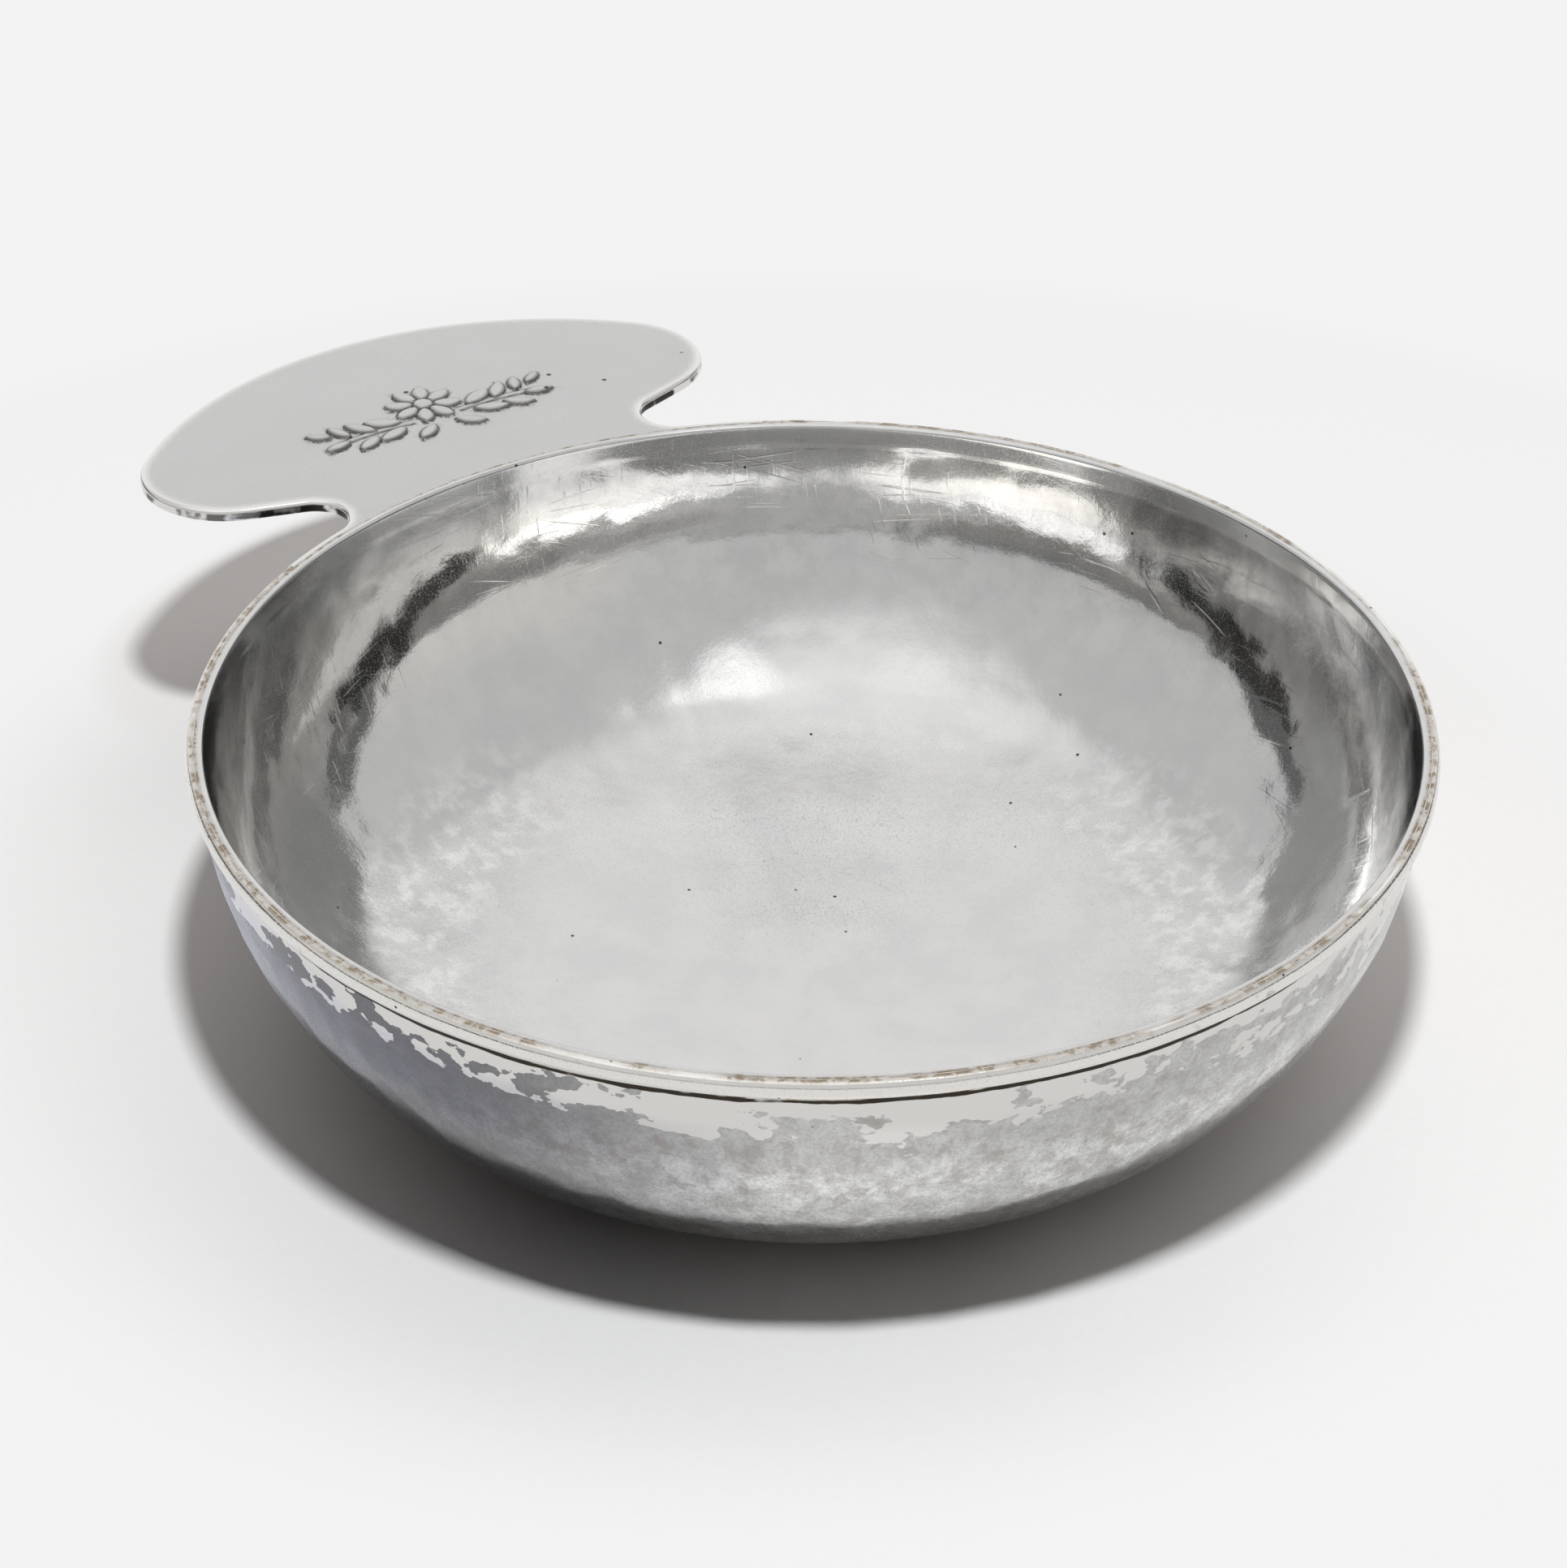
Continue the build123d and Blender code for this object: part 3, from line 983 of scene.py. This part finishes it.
round_turn = np.linspace(0, QUARTER, ROUND_STEPS)
inset = -EDGE_ROUND * (1 - np.cos(round_turn))
drop = EDGE_ROUND * (1 - np.sin(round_turn))
side_section = list(zip(inset[::-1], bottom + drop[::-1])) + list(zip(inset, BOWL_HEIGHT - drop))
side_rings = [at_height(edge_line + edge_out * inwards, z) for inwards, z in side_section]
seat_count = int(2 * (QUARTER - wing_angle) * SEAT_RADIUS / EDGE_STEP)
seat_line = polar(SEAT_RADIUS, np.linspace(math.pi - wing_angle, wing_angle, seat_count))
print("handle side:", len(side_rings), "rings; seat:", seat_count, "points")

# %% Helpers for flat faces
ROW_SHARE = 0.866
NEARLY_SAME = 1e-5


def inside_loop(points, loop):
    """Which points lie inside a closed loop."""
    within = np.zeros(len(points), dtype=bool)
    for (x0, y0), (x1, y1) in zip(loop, np.roll(loop, -1, axis=0)):
        crosses = (y0 > points[:, 1]) != (y1 > points[:, 1])
        if y0 != y1:
            within ^= crosses & (points[:, 0] < (x1 - x0) * (points[:, 1] - y0) / (y1 - y0) + x0)
    return within


def distance_to(line, points):
    """Distance from each point to the nearest point of a line."""
    return np.array([np.min(np.hypot(*(line - point).T)) for point in points])


def plate_face(loop, *grids, gap):
    """Triangles that fill a loop, with the points of the grids that lie a gap inside it."""
    places = [loop]
    for grid in grids:
        grid = grid[inside_loop(grid, loop)]
        places.append(grid[distance_to(loop, grid) > gap])
    corners = [Vector(place) for place in np.vstack(places)]
    result = delaunay_2d_cdt(corners, [], [list(range(len(loop)))], 1, NEARLY_SAME)
    flat = np.array([tuple(place) for place in result[0]])
    flat[:len(loop)] = loop
    return flat, [tuple(face) for face in result[2]]


def hex_grid(low, high, step):
    """Points of a grid whose every other row is shifted by half a step."""
    rows = []
    for k, y in enumerate(np.arange(low[1], high[1], step * ROW_SHARE)):
        x = np.arange(low[0] + (k % 2) * step / 2, high[0], step)
        rows.append(at_height(x, y))
    return np.vstack(rows)


print("face helpers ready")

# %% Top and underside of the plate
COARSE, FINE, UNDER = 0.75, 0.22, 1.6
ORNAMENT_HALF = np.array([18.2, 8.4])
PLAIN_SHARE = 0.12
top_loop = np.vstack([side_rings[-1][:, :2], seat_line])
low, high = top_loop.min(axis=0), top_loop.max(axis=0)
coarse_grid = hex_grid(low, high, COARSE)
in_ornament = (np.abs(coarse_grid - ORNAMENT_CENTRE) < ORNAMENT_HALF).all(axis=1)
fine_grid = hex_grid(ORNAMENT_CENTRE - ORNAMENT_HALF, ORNAMENT_CENTRE + ORNAMENT_HALF, FINE)
fine_relief, fine_line = ornament_height(fine_grid)
needed = (np.abs(fine_relief) > 0.002) | (np.abs(fine_line) > 0.01)
fine_grid = fine_grid[needed | (smith.random(len(fine_grid)) < PLAIN_SHARE)]
top_flat, top_faces = plate_face(top_loop, coarse_grid[~in_ornament], fine_grid, gap=0.3)
bottom_loop = np.vstack([side_rings[0][:, :2], seat_line])
bottom_flat, bottom_faces = plate_face(bottom_loop, hex_grid(low, high, UNDER), gap=0.5)
print(f"handle top: {len(top_flat)} points, underside: {len(bottom_flat)} points")

# %% [markdown]
# Hand-filed plate is never quite flat, so the top gets a slow wave. Then all points get their marks:
# soot on the sawn side, dirt in the chased line, polish and a painted highlight along the edge.

# %% Assemble the handle
handle_points, handle_faces = [], []
handle_marks = {"sawn_edge": [], "chased_line": [], "polished_edge": []}


def add_points(points, **marks):
    """Add points to the handle with their marks; gives the index of the first one."""
    start = sum(len(group) for group in handle_points)
    handle_points.append(points)
    for name, values in handle_marks.items():
        values.append(np.broadcast_to(marks.get(name, 0.0), len(points)))
    return start


relief, chased = ornament_height(top_flat)
from_edge = distance_to(edge_line, top_flat)
plate_wave = 0.06 * np.sin(top_flat[:, 0] / 9.0 + 0.7) * np.sin(top_flat[:, 1] / 7.0)
plate_wave *= fade(top_flat[:, 1], 66.0, 74.0) * fade(from_edge, 0.6, 5.0)
top_points = at_height(top_flat, BOWL_HEIGHT + relief + plate_wave)
add_points(top_points, chased_line=chased, polished_edge=fade(from_edge, 1.4, 0.3))
under_start = add_points(at_height(bottom_flat, bottom))
handle_faces += top_faces
handle_faces += [tuple(under_start + i for i in reversed(face)) for face in bottom_faces]

edge_soot = np.isin(edge_kind, ("notch", "lead")) + 0.8 * (edge_kind == "ear")
ring_starts = []
for ring, (_, z) in zip(side_rings, side_section):
    on_side = bottom + 0.1 < z < BOWL_HEIGHT - 0.45
    ring_starts.append(add_points(ring, sawn_edge=edge_soot * on_side, polished_edge=1.0))
seat_low, seat_high = (add_points(at_height(seat_line, z)) for z in (bottom, BOWL_HEIGHT))
last_edge, last_seat = len(edge_line) - 1, seat_count - 1
strips = [(*pair, last_edge) for pair in zip(ring_starts, ring_starts[1:])]
strips.append((seat_low, seat_high, last_seat))
for lower, upper, count in strips:
    handle_faces += [(lower + i, lower + i + 1, upper + i + 1, upper + i) for i in range(count)]
handle_faces.append((*ring_starts, seat_high + last_seat, seat_low + last_seat))
handle_faces.append((*[start + last_edge for start in reversed(ring_starts)], seat_low, seat_high))
handle_points = np.vstack(handle_points)
handle_piece = new_piece("handle_plate", handle_points, handle_faces, handle_finish)
store(handle_piece, **{name: np.concatenate(values) for name, values in handle_marks.items()})
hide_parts("handle")
print("handle:", len(handle_piece.data.vertices), "points,", len(handle_piece.data.polygons), "faces")

# %% [markdown]
# ## The rim wire
# A wire of D section is bent round the lip, from one wing of the handle to the other. Bent wire is never
# quite even, so it wavers by a few hundredths of a millimetre, which breaks up its highlight.

# %% Section of the wire
widest = BOWL_HEIGHT - WIRE_BELLY
wire_under = BOWL_HEIGHT - WIRE_HEIGHT
under_turn = np.linspace(-QUARTER, 0, 10)
over_turn = np.linspace(0, QUARTER, 12)[1:]
section_r = RIM_RADIUS + np.concatenate([
    WIRE_UNDER_ROUND * (np.cos(under_turn) - 1), WIRE_TOP_ROUND * (np.cos(over_turn) - 1)
])
section_z = widest + np.concatenate([
    (widest - wire_under) * np.sin(under_turn), WIRE_BELLY * np.sin(over_turn)
])
section_r = np.concatenate([[SEAT_RADIUS], section_r, [SEAT_RADIUS]])
section_z = np.concatenate([[wire_under], section_z, [BOWL_HEIGHT]])
reach = section_r - SEAT_RADIUS
print("wire section:", len(section_r), "points")

# %% Sweep the wire
WIRE_STEPS = 640
WAVERS = ((0.016, 17, 0.3), (0.012, 41, 1.9), (0.008, 83, 4.2))
WAVER_LIMIT = 0.036
wire_gap = SOLDER_FILM / RIM_RADIUS
wire_angles = np.linspace(math.pi - wing_angle + wire_gap, 2 * math.pi + wing_angle - wire_gap, WIRE_STEPS)
wire_points = []
for angle in wire_angles:
    waver = sum(size * math.sin(turns * angle + start) for size, turns, start in WAVERS)
    radius = SEAT_RADIUS + reach * (1 + waver - WAVER_LIMIT)
    sag = np.where(section_z < widest, -waver * 0.5, 0.0) * reach
    wire_points.append(at_height(polar(radius, angle), section_z + sag))
wire_points = np.vstack(wire_points)
sides = len(section_r)
wire_faces = []
for here in range(0, (WIRE_STEPS - 1) * sides, sides):
    for i in range(sides):
        j = (i + 1) % sides
        wire_faces.append((here + i, here + sides + i, here + sides + j, here + j))
wire_faces.append(tuple(range(sides)))
wire_faces.append(tuple(reversed(range((WIRE_STEPS - 1) * sides, WIRE_STEPS * sides))))
wire_piece = new_piece("bent_rim_wire", wire_points, wire_faces, wire_finish)
wire_radius = np.hypot(wire_points[:, 0], wire_points[:, 1])
on_top = fade(wire_points[:, 2], widest + 0.5, BOWL_HEIGHT - 0.05)
store(wire_piece, seam=on_top * fade(wire_radius, SEAT_RADIUS + 0.62, SEAT_RADIUS + 0.15))
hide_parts("rim_wire")
print("wire:", len(wire_piece.data.vertices), "points")

# %% [markdown]
# ## Paper, light and camera
# The porringer stands on white paper under one small lamp, in a pale room. In the photograph the paper
# is nearly white away from the shadow, so there it glows for the camera. Metal mirrors its own levels.

# %% Colour of the paper
FOOT_SHADE = (0.70, 0.68, 0.665)
paper, paper_shader = new_finish("white paper", Roughness=0.9, Specular_IOR_Level=0.1)
paper_place = add_node("TexCoord").outputs["Object"]


def vector_sum(operation, first, second=(0.0, 0.0, 0.0)):
    """A Vector Math node; gives a number for a length or a dot product, and a vector otherwise."""
    node = add_node("VectorMath", operation=operation)
    feed(first, node.inputs[0])
    feed(second, node.inputs[1])
    return node.outputs["Value" if operation in ("LENGTH", "DOT_PRODUCT") else "Vector"]


distance = vector_sum("LENGTH", paper_place)
paper_colour = mix_colour(grain(900.0, 3.0), (0.83, 0.83, 0.83), (0.86, 0.86, 0.86))
# Painted shadow: the paper is darker close under the bowl.
paper_colour = mix_colour(remap(distance, 0.060, 0.042), paper_colour, FOOT_SHADE)
feed(paper_colour, paper_shader["Base Color"])
print("paper coloured")

# %% Paper that the camera sees
BOWL_SHADOW = ((0.007, 0.012, 0.0), (0.0688, 0.0688, 1.0))      # middle and half widths, in metres
HANDLE_SHADOW = ((0.007, 0.092, 0.0), (0.041, 0.0275, 1.0))
paper_rays = add_node("LightPath").outputs


def from_oval(centre, half):
    """Distance on the paper from the middle of an oval, 1 on its edge."""
    return vector_sum("LENGTH", vector_sum("DIVIDE", vector_sum("SUBTRACT", paper_place, centre), half))


off_bowl = remap(from_oval(*BOWL_SHADOW), 1.11, 1.62, 0.0, 0.9)
off_shadow = times(off_bowl, remap(from_oval(*HANDLE_SHADOW), 1.03, 1.2))
lit_paper = sum_up("MAXIMUM", off_shadow, remap(distance, 0.125, 0.190))
seen_bright = times(lit_paper, paper_rays["Is Camera Ray"])
print("paper lit for the camera")

# %% Paper that the metal mirrors
ACROSS = 0.1
ACROSS_STOPS = (  # from the left to the right of the view
    (0.20, (0.80, 0.81, 0.88)), (0.30, (0.74, 0.745, 0.77)), (0.40, (0.84, 0.84, 0.85)),
    (0.49, (1.0, 1.0, 1.0)), (0.57, (1.0, 1.0, 1.0)), (0.68, (0.86, 0.86, 0.85)),
    (0.85, (0.86, 0.86, 0.85)),
)
FAR_PAPER = (0.92, 0.92, 0.92)
PAPER_WHITE = 0.895


def off_mirrors(rays):
    """1 for a ray that left a mirror and no matt surface before it."""
    reflected = sum_up("MAXIMUM", rays["Is Glossy Ray"], rays["Is Transmission Ray"])
    return times(reflected, sum_up("LESS_THAN", rays["Diffuse Depth"], 0.5))


mirrored = off_mirrors(paper_rays)
across = add_node("MapRange", in_From_Min=-ACROSS, in_From_Max=ACROSS)
feed(vector_sum("DOT_PRODUCT", paper_place, RIGHT), across.inputs["Value"])
ramp = add_node("ValToRGB", in_Fac=across.outputs["Result"])
for _ in ACROSS_STOPS[2:]:
    ramp.color_ramp.elements.new(0.5)
for stop, (position, tone) in zip(ramp.color_ramp.elements, ACROSS_STOPS):
    stop.position = position
    stop.color = (*tone, 1.0)
mirror_colour = mix_colour(remap(distance, 0.079, 0.091), ramp.outputs["Color"], FAR_PAPER)
glow_colour = mix_colour(mirrored, (PAPER_WHITE,) * 3, mirror_colour)
glow = add_node("Emission", in_Color=glow_colour)
glow_mask = sum_up("MAXIMUM", seen_bright, times(remap(distance, 0.058, 0.068), mirrored))
paper_mix = add_node("MixShader", in_Fac=glow_mask)
feed(bench.nodes["Principled BSDF"].outputs["BSDF"], paper_mix.inputs[1])
feed(glow.outputs["Emission"], paper_mix.inputs[2])
feed(paper_mix.outputs["Shader"], bench.nodes["Material Output"].inputs["Surface"])
print("paper finish:", len(bench.nodes), "nodes")

# %% Lay the paper
FLOOR_HALF, FLOOR_Z = 3.0, -0.0001
CORNERS = ((-1, -1), (1, -1), (1, 1), (-1, 1))
floor_corners = [(x * FLOOR_HALF, y * FLOOR_HALF, FLOOR_Z) for x, y in CORNERS]
floor_mesh = bpy.data.meshes.new("paper_floor")
floor_mesh.from_pydata(floor_corners, [], [(0, 1, 2, 3)])
floor_mesh.materials.append(paper)
paper_floor = place_object("paper_floor", floor_mesh)
print("paper laid")

# %% [markdown]
# The shadow is crisp with a narrow soft edge, so the lamp is a small disc close by. Mirror rays don't
# see it, because the metal shows no small round light.

# %% Lamp
LAMP_PLACE = Vector((-0.082, -0.145, 0.440))
LAMP_AIM = Vector((0, 0, 0.01))
lamp_data = bpy.data.lights.new("small lamp", "AREA")
lamp_data.shape = "DISK"
lamp_data.size = 0.040
lamp_data.energy = 1.62
lamp_data.color = (0.985, 0.995, 1.0)
lamp = place_object("small_lamp", lamp_data)
lamp.location = LAMP_PLACE
lamp.visible_glossy = False
lamp.rotation_euler = (LAMP_AIM - LAMP_PLACE).to_track_quat("-Z", "Y").to_euler()
print("lamp at", tuple(round(v, 3) for v in LAMP_PLACE))

# %% [markdown]
# ## The room
# A mirror is only as good as what it mirrors. The room is a set of levels by direction, and rays that
# met the metal once, twice or three times get levels of their own. Real panels round the set could do
# the same, but each would then show in every reflection.

# %% Directions in the room
world = bpy.data.worlds.new("pale room")
world.use_nodes = True
bpy.context.scene.world = world
take_up(world.node_tree)
facing = add_node("TexCoord").outputs["Generated"]
behind, beside, above = (vector_sum("DOT_PRODUCT", facing, way) for way in (BEHIND, RIGHT, (0, 0, 1)))
aside = sum_up("ABSOLUTE", beside)


def oval(right, back, wide, deep, outer=1.15, inner=0.85):
    """Mask of an oval light in the room, by how far a ray points to the right and away."""
    across = times(minus(beside, right), 1 / wide)
    along = times(minus(behind, back), 1 / deep)
    return remap(plus(times(across, across), times(along, along)), outer, inner)


def without(mask, *holes):
    """A mask with the product of the holes cut out of it."""
    return times(mask, minus(1.0, times(*holes)))


def levelled(level, steps):
    """Levels set one after another, each through its mask."""
    for value, mask in steps:
        level = level_to(level, value, mask)
    return level


print("room directions ready")

# %% [markdown]
# The first reflection shows the backdrop, darker flanks, a dark horizon, and soft lights overhead.

# %% Room in the first reflection
backdrop = remap(above, 0.50, 0.88, 1.10, 1.04)
front = level_to(0.85, 0.75, remap(beside, -0.5, 0.0))
flanks = times(remap(aside, 0.20, 0.36), remap(behind, 0.76, 0.62))
lift = times(remap(aside, 0.62, 0.80, 0.0, 0.19), remap(behind, 0.0, 0.30))
horizon = times(remap(minus(above, lift), 0.165, 0.120), remap(behind, 0.85, 0.72))
ceiling = times(remap(above, 0.76, 0.86), remap(beside, 0.30, 0.08))
strip = times(remap(aside, 0.20, 0.05), remap(behind, 0.0, 0.2), remap(behind, 0.80, 0.62))
once = levelled(backdrop, (
    (front, remap(behind, 0.5, 0.1)),
    (0.76, flanks),
    (level_to(0.50, 0.16, remap(aside, 0.60, 0.80)), horizon),
    (1.0, ceiling),
    (1.17, strip),
    (1.2, oval(-0.12, -0.10, 0.40, 0.50, 1.7, 0.3)),
    (1.3, oval(-0.25, -0.33, 0.15, 0.15, 1.6, 0.4)),
    (1.85, oval(0.21, -0.25, 0.12, 0.24, 1.8, 0.2)),
))
print("first reflection set")

# %% [markdown]
# The later ones come from the wall behind. A panel with a gap gives white streaks, and a dark place
# behind the camera gives the dark bands.

# %% Room in the second and third reflections
wall_panel = without(oval(0.0, -0.25, 0.42, 0.28), remap(aside, 0.16, 0.07), remap(behind, -0.42, -0.30))
side_light = times(remap(above, 0.50, 0.60), oval(0.55, -0.52, 0.24, 0.20))
dark_place = times(remap(aside, 0.35, 0.24), remap(behind, -0.55, -0.61))
twice = levelled(1.05, (
    (0.70, remap(behind, 0.05, -0.15)),
    (0.52, remap(beside, 0.50, 0.65)),
    (1.12, side_light),
    (3.3, wall_panel),
    (0.08, dark_place),
))
low_panel = without(oval(-0.12, -0.10, 0.93, 0.32), remap(aside, 0.13, 0.03), remap(behind, -0.08, 0.05))
ring_band = remap(sum_up("ABSOLUTE", minus(above, 0.51)), 0.035, 0.015)
dark_ring = times(ring_band, remap(beside, 0.10, 0.20), remap(behind, -0.62, -0.72))
near_side = level_to(level_to(0.65, 3.0, remap(above, 0.49, 0.60)), 0.42, remap(beside, 0.0, 0.15))
near_mask = remap(behind, -0.40, -0.55)
thrice = levelled(1.1, ((near_side, near_mask), (0.10, dark_ring), (5.0, low_panel)))
print("second and third reflections set")

# %% [markdown]
# The light that the room throws on the paper is slightly warm, from behind and from the right.

# %% Join the room
WARM, WHITE = (1.0, 0.95, 0.925), (1.0, 1.0, 1.0)
rays = add_node("LightPath").outputs
mirror_room = level_to(once, twice, sum_up("GREATER_THAN", rays["Glossy Depth"], 1.5))
mirror_room = level_to(mirror_room, thrice, sum_up("GREATER_THAN", rays["Glossy Depth"], 2.5))
light_room = level_to(level_to(0.71, 1.05, remap(beside, -0.6, 0.2)), 0.0, remap(behind, 0.4, -0.3))
mirrored = off_mirrors(rays)
room = level_to(level_to(light_room, mirror_room, mirrored), PAPER_WHITE, rays["Is Camera Ray"])
seen = sum_up("MAXIMUM", mirrored, rays["Is Camera Ray"])
background = bench.nodes["Background"].inputs
feed(room, background["Strength"])
feed(mix_colour(seen, WARM, WHITE), background["Color"])
print("room:", len(bench.nodes), "nodes")

# %% [markdown]
# ## Camera
# Its place and lens were fitted to the ellipse of the rim and to the handle's symmetry.

# %% Camera
CAMERA_PLACE = Vector((-0.16166, -0.22793, 0.20671))
LOOKS_AT = Vector((-0.002415, 0.001624, 0.0245))
ROLL = math.radians(0.199)
SENSOR = 36.0
FOCAL_PIXELS, WIDTH_PIXELS = 3950.0, 1931.0
camera_data = bpy.data.cameras.new("photo camera")
camera_data.sensor_fit = "HORIZONTAL"
camera_data.sensor_width = SENSOR
camera_data.lens = SENSOR * FOCAL_PIXELS / WIDTH_PIXELS
camera = place_object("photo_camera", camera_data)
level_view = (LOOKS_AT - CAMERA_PLACE).to_track_quat("-Z", "Y").to_matrix().to_4x4()
camera.matrix_world = Matrix.Translation(CAMERA_PLACE) @ level_view @ Matrix.Rotation(ROLL, 4, "Z")
bpy.context.scene.camera = camera
bpy.context.scene.view_settings.view_transform = "Standard"
print(f"lens {camera_data.lens:.1f} mm")
